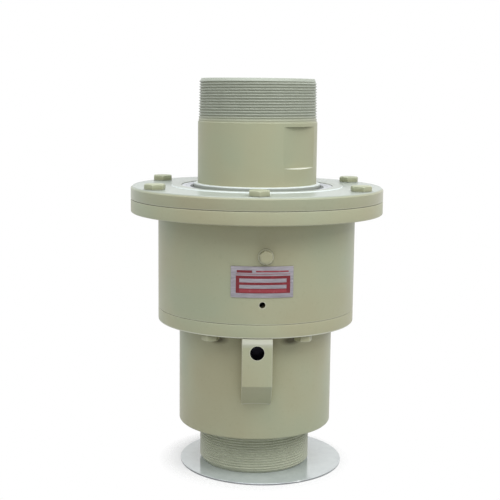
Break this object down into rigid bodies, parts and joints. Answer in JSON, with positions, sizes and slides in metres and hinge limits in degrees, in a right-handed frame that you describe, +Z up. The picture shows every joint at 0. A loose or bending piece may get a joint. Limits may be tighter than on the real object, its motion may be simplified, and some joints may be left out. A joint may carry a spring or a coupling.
{
  "type": "hydraulic rotary union",
  "caption": "Flanged hydraulic rotary union: a threaded rotor turns on tapered roller bearings in a bolted body, above a lower housing with a torque lug and a threaded stator pipe",
  "frame": {"origin": "on the axis of rotation, under the end cap, at the lowest point", "axes": "+Z up along the axis of rotation, -Y out of the torque lug, +X to the right when the lug faces the viewer"},
  "size_m": [0.3, 0.3, 0.463],
  "materials": {
    "housing_paint": "smooth semi-gloss olive-grey machine paint",
    "bolt_paint": "hexagon bolts painted over in the housing colour",
    "plug_steel": "zinc plated steel plug",
    "plate_aluminium": "bare aluminium plate with a red frame",
    "cap_plastic": "pale glossy protective disc",
    "seal_rubber": "nitrile rubber",
    "carbon": "lapped carbon graphite",
    "bright_steel": "ground bearing and seal steel",
    "cage_brass": "machined brass cage"
  },
  "bodies": {
    "root": {"body_housing": "housing_paint", "cover_flange": "housing_paint", "cover_bolts": "bolt_paint", "cover_seal_ring": "seal_rubber", "lip_seal": "seal_rubber", "oil_plug": "plug_steel", "plug_washer": "plug_steel", "nameplate": "plate_aluminium", "nameplate_rivets": "plate_aluminium", "lower_housing": "housing_paint", "lower_housing_bolts": "bolt_paint", "housing_seal_ring": "seal_rubber", "torque_lug": "housing_paint", "stator_pipe": "housing_paint", "upper_bearing_cup": "bright_steel", "lower_bearing_cup": "bright_steel", "cup_spacer": "bright_steel", "seal_spring": "bright_steel", "drive_pins": "bright_steel"},
    "rotor": {"rotor": "housing_paint", "upper_bearing_cone": "bright_steel", "lower_bearing_cone": "bright_steel", "cone_spacer": "bright_steel", "lock_washer": "bright_steel", "lock_nut": "bright_steel", "rotating_seal_ring": "bright_steel", "rotor_seal_ring": "seal_rubber"},
    "roller_rows": {"upper_bearing_rollers": "bright_steel", "lower_bearing_rollers": "bright_steel", "upper_bearing_cage": "cage_brass", "lower_bearing_cage": "cage_brass"},
    "seal_float": {"seal_carrier": "bright_steel", "carbon_ring": "carbon", "carrier_seal_ring": "seal_rubber"},
    "cap": {"end_cap": "cap_plastic"}
  },
  "joints": [
    {"name": "rotor_spin", "type": "hinge", "parent": "root", "child": "rotor", "pos_m": [0, 0, 0.264], "axis": [0, 0, 1], "continuous": true},
    {"name": "roller_orbit", "type": "hinge", "parent": "root", "child": "roller_rows", "pos_m": [0, 0, 0.264], "axis": [0, 0, 1], "continuous": true},
    {"name": "seal_lift", "type": "slide", "parent": "root", "child": "seal_float", "axis": [0, 0, -1], "range_m": [0, 0.002], "stiffness_N_per_m": 8000, "springref_m": -0.015, "deforming": ["seal_spring"]},
    {"name": "cap_pull", "type": "slide", "parent": "root", "child": "cap", "axis": [0, 0, -1], "range_m": [0, 0.12]}
  ],
  "couplings": [
    {"joint": "roller_orbit", "follows": "rotor_spin", "ratio": 0.4634}
  ]
}
